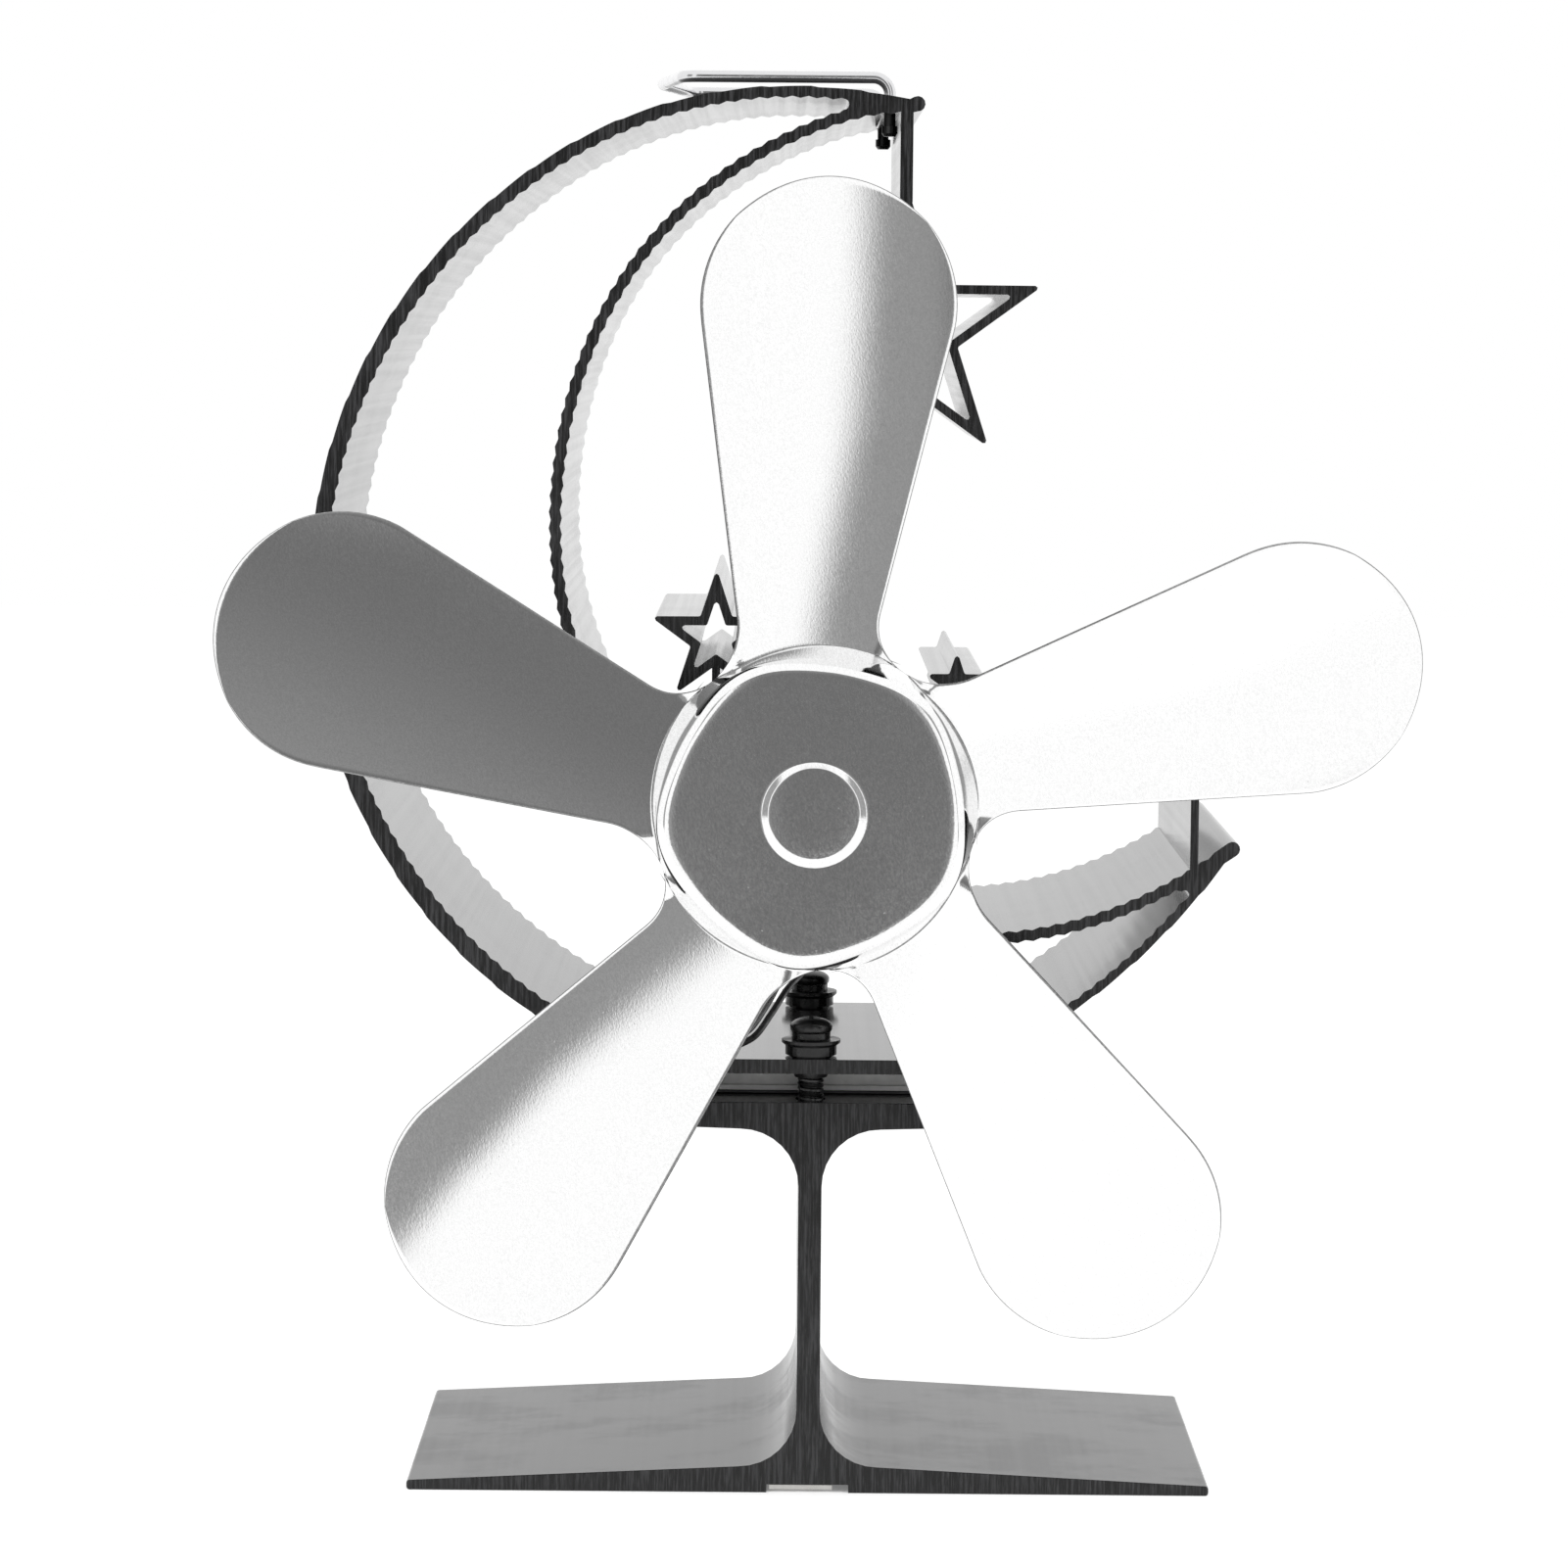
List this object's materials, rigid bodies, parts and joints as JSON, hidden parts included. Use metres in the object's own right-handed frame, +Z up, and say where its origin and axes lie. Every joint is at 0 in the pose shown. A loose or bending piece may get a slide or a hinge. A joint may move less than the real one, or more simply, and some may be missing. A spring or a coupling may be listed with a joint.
{
  "type": "stove fan",
  "caption": "Heat-powered stove fan: black extruded foot and crescent-moon heat sink with stars, brushed aluminium rotor, wire handle.",
  "frame": {"origin": "on the stove top, under the middle of the fan's width and overall depth", "axes": "+Z up; the fan blows towards -Y, away from its heat sink; +X is to the right of someone facing the rotor; both extrusions run along Y"},
  "size_m": [0.1716, 0.0825, 0.2068],
  "materials": {
    "black_anodised": "black anodised extrusion, sawn ends",
    "brushed_aluminium": "bright sheet with a fine grain",
    "bright_steel": "polished wire and turned steel",
    "black_steel": "black oxide, semi-gloss",
    "black_resin": "heat-resistant resin",
    "white_ceramic": "alumina ceramic",
    "grey_seal": "silicone edge seal",
    "graphite_pad": "graphite sheet",
    "zinc_steel": "zinc plated",
    "magnet_grey": "sintered ferrite",
    "copper_winding": "enamelled copper winding",
    "brass": "bright",
    "grey_insulation": "silicone lead",
    "black_insulation": "silicone lead",
    "bimetal": "rolled strip"
  },
  "bodies": {
    "stand": {"base_foot": "black_anodised", "moon_heat_sink": "black_anodised", "thermal_pad_lower": "graphite_pad", "hot_ceramic": "white_ceramic", "pellet_core": "grey_seal", "cold_ceramic": "white_ceramic", "thermal_pad_upper": "graphite_pad", "lead_left": "grey_insulation", "lead_right": "black_insulation", "clamp_screw_front": "black_steel", "clamp_screw_rear": "black_steel", "spring_washer_front": "black_steel", "spring_washer_rear": "black_steel", "bushing_front": "black_resin", "bushing_rear": "black_resin", "motor_can": "zinc_steel", "motor_end_cap": "black_resin", "magnet_left": "magnet_grey", "magnet_right": "magnet_grey", "bearing_front": "brass", "bearing_rear": "brass", "terminal_left": "brass", "terminal_right": "brass", "motor_lock_screw": "black_steel", "strip_rivet": "bright_steel"},
    "rotor": {"fan_rotor": "brushed_aluminium", "hub_boss": "bright_steel", "motor_shaft": "bright_steel", "armature": "copper_winding", "commutator": "brass"},
    "handle": {"handle_wire": "bright_steel", "handle_cap_front": "black_resin", "handle_cap_rear": "black_resin"},
    "strip": {"bimetal_strip": "bimetal"}
  },
  "joints": [
    {"name": "rotor_spin", "type": "hinge", "parent": "stand", "child": "rotor", "pos_m": [0, -0.033, 0.102], "axis": [0, 1, 0], "continuous": true},
    {"name": "handle_lift", "type": "slide", "parent": "stand", "child": "handle", "axis": [0, 0, 1], "range_m": [0, 0.0012]},
    {"name": "strip_bend", "type": "hinge", "parent": "stand", "child": "strip", "pos_m": [0, 0.03112, 0.00105], "axis": [1, 0, 0], "range_deg": [0, 1.5], "stiffness_Nm_per_rad": 0.5, "springref_deg": -0.57}
  ]
}
